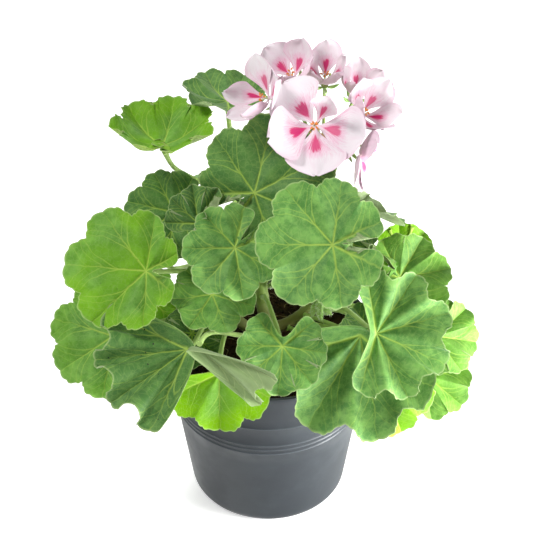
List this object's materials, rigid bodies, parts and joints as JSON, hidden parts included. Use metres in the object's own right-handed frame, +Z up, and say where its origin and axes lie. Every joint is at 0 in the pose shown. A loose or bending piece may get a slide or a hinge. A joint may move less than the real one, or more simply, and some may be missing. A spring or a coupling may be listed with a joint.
{
  "type": "potted geranium",
  "caption": "Bushy zonal geranium with scalloped round leaves and a pale pink-white flower head, planted in a plain round nursery pot.",
  "frame": {"origin": "centre of the pot's base, on the surface it stands on", "axes": "+Z up along the pot's axis, -Y towards the plant's front, +X to its right"},
  "size_m": [0.2377, 0.184, 0.2783],
  "materials": {
    "pot_plastic": "matte slate-grey moulded polypropylene",
    "peat": "dark, damp, crumbly peat with a few white perlite grains",
    "stems": "pale green, soft-haired stems and stalks",
    "leaves": "velvety mid-green blades with yellow-green veins and thin pale margins",
    "buds": "hairy light green buds and sepals",
    "petals": "silky white petals flushed pink, with magenta blotches near the base"
  },
  "bodies": {
    "root": {"pot": "pot_plastic", "soil": "peat", "stem": "stems", "leaf_01": "leaves", "leaf_02": "leaves", "leaf_03": "leaves", "leaf_04": "leaves", "leaf_05": "leaves", "leaf_06": "leaves", "leaf_07": "leaves", "leaf_08": "leaves", "leaf_09": "leaves", "leaf_10": "leaves", "leaf_11": "leaves", "leaf_12": "leaves", "leaf_13": "leaves", "leaf_14": "leaves", "leaf_15": "leaves", "leaf_16": "leaves", "leaf_17": "leaves", "leaf_18": "leaves", "leaf_19": "leaves", "leaf_20": "leaves", "leaf_21": "leaves", "leaf_22": "leaves", "leaf_23": "leaves", "leaf_24": "leaves", "leaf_25": "leaves", "leaf_26": "leaves", "leaf_27": "leaves", "leaf_28": "leaves", "leaf_29": "leaves", "leaf_30": "leaves", "leaf_31": "leaves", "leaf_32": "leaves", "flower_stalk": "stems", "young_buds": "buds", "floret_1": "petals", "floret_2": "petals", "floret_3": "petals", "floret_4": "petals", "floret_5": "petals", "floret_6": "petals", "floret_7": "petals"}
  },
  "joints": []
}
